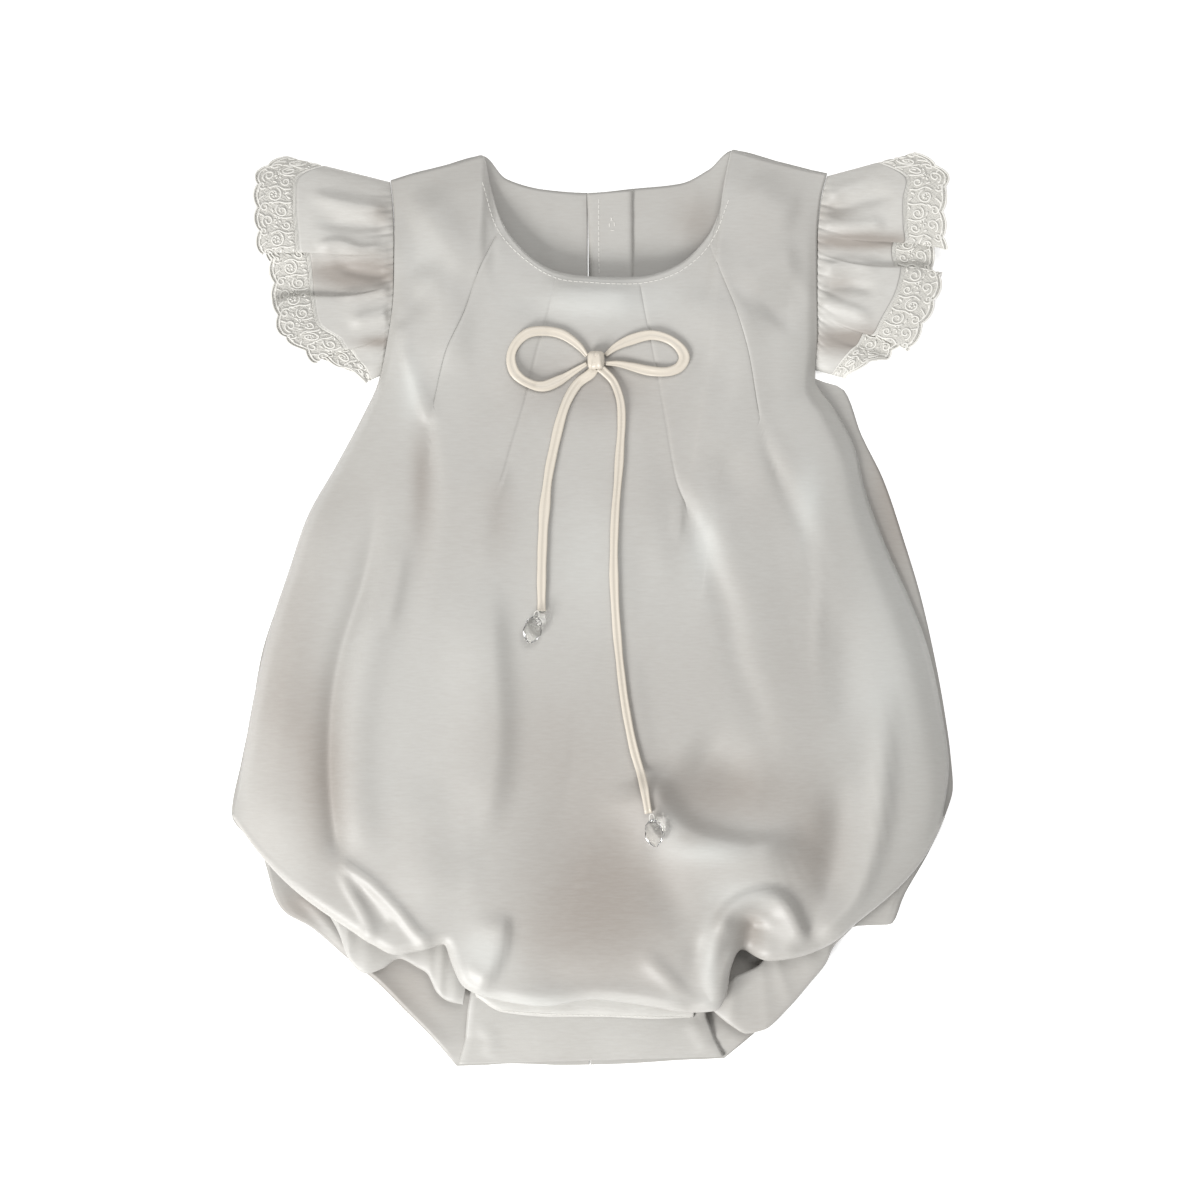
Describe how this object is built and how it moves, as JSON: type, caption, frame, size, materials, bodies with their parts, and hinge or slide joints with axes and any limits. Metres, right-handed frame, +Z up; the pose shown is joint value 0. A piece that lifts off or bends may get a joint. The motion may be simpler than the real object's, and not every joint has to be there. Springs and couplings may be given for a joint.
{
  "type": "baby romper",
  "caption": "Ivory satin baby bubble romper laid flat, with lace-edged flutter sleeves, a bow with crystal drops and a snap crotch band.",
  "frame": {"origin": "centre of the footprint, on the surface that the romper lies on", "axes": "+Z up from the surface, +Y from the crotch towards the neck, +X to the viewer's right when seen from above"},
  "size_m": [0.326, 0.4138, 0.0292],
  "materials": {
    "front_panel": "satin",
    "back_left_panel": "satin",
    "back_right_panel": "satin",
    "back_placket": "satin",
    "crotch_band": "satin",
    "crotch_binding": "satin",
    "leg_casing_left": "satin",
    "leg_casing_right": "satin",
    "sleeve_left": "satin",
    "sleeve_right": "satin",
    "bow_loop_left": "satin",
    "bow_loop_right": "satin",
    "bow_knot": "satin",
    "tail_left": "satin",
    "tail_right": "satin",
    "lace_left": "matte",
    "lace_right": "matte",
    "bead_left": "polished",
    "bead_right": "polished"
  },
  "bodies": {
    "root": {"front_panel": "front_panel", "back_left_panel": "back_left_panel", "back_right_panel": "back_right_panel", "back_placket": "back_placket", "crotch_band": "crotch_band", "crotch_binding": "crotch_binding", "leg_casing_left": "leg_casing_left", "leg_casing_right": "leg_casing_right", "sleeve_left": "sleeve_left", "sleeve_right": "sleeve_right", "bow_loop_left": "bow_loop_left", "bow_loop_right": "bow_loop_right", "bow_knot": "bow_knot", "tail_left": "tail_left", "tail_right": "tail_right", "lace_left": "lace_left", "lace_right": "lace_right", "bead_left": "bead_left", "bead_right": "bead_right"}
  },
  "joints": []
}
